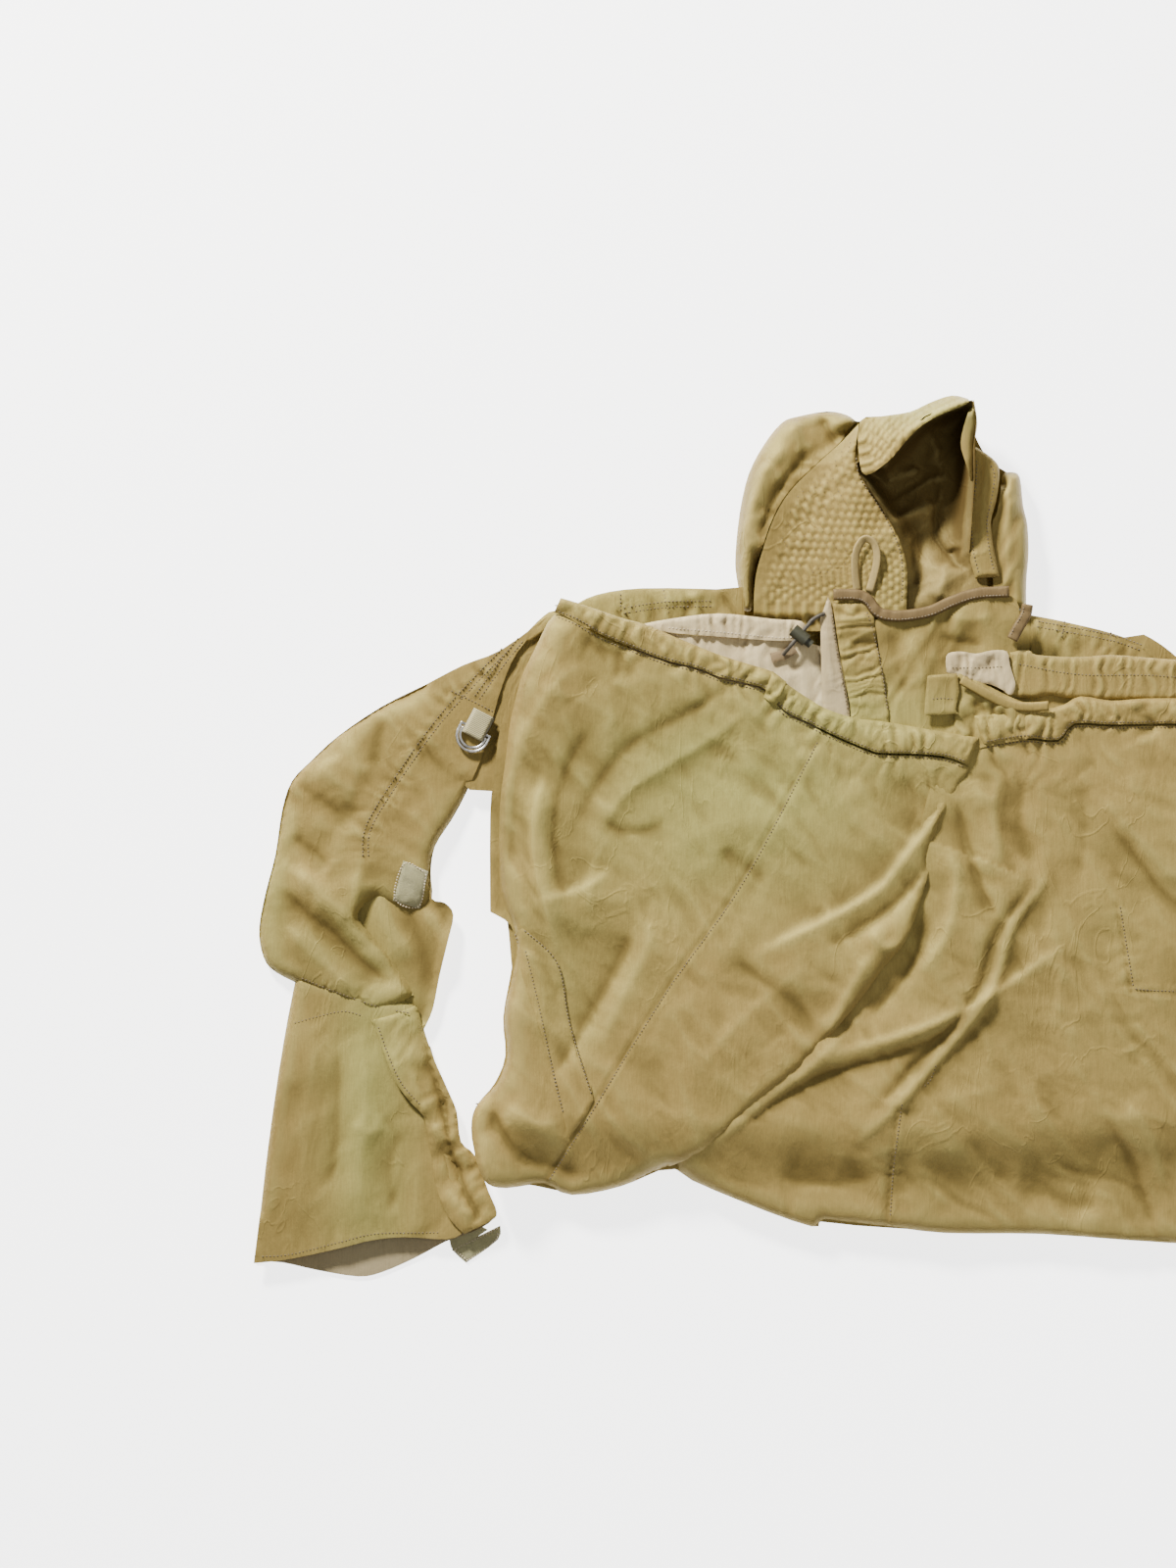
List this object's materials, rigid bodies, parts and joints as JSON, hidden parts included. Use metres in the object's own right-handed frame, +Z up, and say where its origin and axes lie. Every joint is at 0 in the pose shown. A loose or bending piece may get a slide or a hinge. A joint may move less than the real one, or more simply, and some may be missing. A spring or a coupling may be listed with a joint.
{
  "type": "hooded work suit",
  "caption": "Hooded cotton over-jacket laid flat with elastic-waist bib overtrousers folded across its chest; webbing rings, cuff tabs, front zip and a cord lock.",
  "frame": {"origin": "centre of the whole layout's outline, on the surface it lies on", "axes": "+Z up, +X across the chest towards the wearer's left sleeve as laid, +Y from the hem to the hood"},
  "size_m": [1.2079, 0.8382, 0.062],
  "materials": {
    "khaki_cotton": "matte woven cotton",
    "cream_lining": "matte woven cotton",
    "cuff_lining": "matte woven cotton",
    "hood_lining_cloth": "matte woven cotton",
    "webbing": "ribbed webbing",
    "loop_fastener": "napped loop tape",
    "khaki_tape": "folded tape",
    "brown_binding": "matte folded tape",
    "brown_ribbon": "satin ribbon",
    "elastic": "ribbed elastic",
    "zip_tape": "woven tape",
    "zip_teeth": "satin",
    "steel": "satin",
    "lock_plastic": "matte moulded",
    "drawcord": "braided"
  },
  "bodies": {
    "jacket": {"jacket_back": "khaki_cotton", "jacket_front_left": "khaki_cotton", "jacket_front_right": "khaki_cotton", "shoulder_yokes": "khaki_cotton", "sleeve_left_under": "khaki_cotton", "sleeve_left_top": "khaki_cotton", "cuff_left_under": "cuff_lining", "cuff_left_top": "khaki_cotton", "cuff_left_fold": "khaki_cotton", "sleeve_right_under": "khaki_cotton", "sleeve_right_top": "khaki_cotton", "cuff_right_under": "cuff_lining", "cuff_right_top": "khaki_cotton", "cuff_right_fold": "khaki_cotton", "elbow_patches": "loop_fastener", "ring_tabs": "webbing", "hood_back": "khaki_cotton", "hood_lining": "hood_lining_cloth", "hood_crown_left": "khaki_cotton", "hood_crown_right": "khaki_cotton", "hood_band_left": "khaki_cotton", "hood_band_top": "khaki_cotton", "hood_rim_right": "khaki_cotton", "hood_chin_tab": "khaki_cotton", "hood_hanger_loop": "khaki_tape", "zip_tapes": "zip_tape", "zip_chain": "zip_teeth"},
    "trousers": {"leg_left_folded": "khaki_cotton", "leg_right_folded": "khaki_cotton", "trousers_back": "khaki_cotton", "trousers_lining": "cream_lining", "trousers_front_left": "khaki_cotton", "trousers_front_right": "khaki_cotton", "pocket_welt": "khaki_cotton", "waistband_front_left": "khaki_cotton", "waistband_front_right": "khaki_cotton", "waistband_back_left": "cream_lining", "waistband_back_right": "khaki_cotton", "waist_lining_end": "cream_lining", "waist_elastics": "elastic", "waist_end_flap": "khaki_cotton", "waist_tie": "khaki_cotton", "belt_loop": "khaki_cotton", "fly_facing": "cream_lining", "fly_gathered_strip": "khaki_cotton", "bib": "khaki_cotton", "bib_binding": "brown_binding", "cord_lock_ribbon": "brown_ribbon", "waist_drawcord": "drawcord"},
    "ring_left_outer": {"ring_left_outer": "steel"},
    "ring_left_inner": {"ring_left_inner": "steel"},
    "ring_right_outer": {"ring_right_outer": "steel"},
    "ring_right_inner": {"ring_right_inner": "steel"},
    "cuff_tab_left": {"cuff_tab_left": "loop_fastener"},
    "cuff_tab_right": {"cuff_tab_right": "loop_fastener"},
    "zip_slider": {"zip_slider": "steel"},
    "zip_pull": {"zip_pull": "steel"},
    "cord_lock": {"cord_lock_barrel": "lock_plastic"},
    "cord_lock_button": {"cord_lock_button": "lock_plastic"}
  },
  "joints": [
    {"name": "trousers_lift", "type": "slide", "parent": "jacket", "child": "trousers", "axis": [0, 0, 1], "range_m": [0, 0.25]},
    {"name": "ring_left_outer_flip", "type": "hinge", "parent": "jacket", "child": "ring_left_outer", "pos_m": [-0.39917, 0.1127, 0.0185], "axis": [-0.8862, 0.4633, 0], "range_deg": [0, 100]},
    {"name": "ring_left_inner_flip", "type": "hinge", "parent": "jacket", "child": "ring_left_inner", "pos_m": [-0.40083, 0.10951, 0.0185], "axis": [-0.8862, 0.4633, 0], "range_deg": [0, 100]},
    {"name": "cuff_tab_left_peel", "type": "hinge", "parent": "jacket", "child": "cuff_tab_left", "pos_m": [-0.3995, -0.3559, 0.0014], "axis": [-0.8984, -0.4392, 0], "range_deg": [0, 90]},
    {"name": "ring_right_outer_flip", "type": "hinge", "parent": "jacket", "child": "ring_right_outer", "pos_m": [0.33267, 0.06666, 0.0185], "axis": [-0.8131, -0.5821, 0], "range_deg": [0, 100]},
    {"name": "ring_right_inner_flip", "type": "hinge", "parent": "jacket", "child": "ring_right_inner", "pos_m": [0.33477, 0.06373, 0.0185], "axis": [-0.8131, -0.5821, 0], "range_deg": [0, 100]},
    {"name": "cuff_tab_right_peel", "type": "hinge", "parent": "jacket", "child": "cuff_tab_right", "pos_m": [0.39822, -0.39733, 0.0014], "axis": [-0.9508, 0.3099, 0], "range_deg": [0, 90]},
    {"name": "zip_run", "type": "slide", "parent": "jacket", "child": "zip_slider", "axis": [0, -1, 0], "range_m": [0, 0.4]},
    {"name": "zip_pull_flip", "type": "hinge", "parent": "zip_slider", "child": "zip_pull", "pos_m": [0.024, 0.2011, 0.0159], "axis": [1, 0, 0], "range_deg": [0, 40]},
    {"name": "cord_lock_slide", "type": "slide", "parent": "trousers", "child": "cord_lock", "axis": [0.6428, 0.766, 0], "range_m": [0, 0.006]},
    {"name": "cord_lock_press", "type": "slide", "parent": "cord_lock", "child": "cord_lock_button", "axis": [-0.766, 0.6428, 0], "range_m": [0, 0.003], "stiffness_N_per_m": 300}
  ]
}
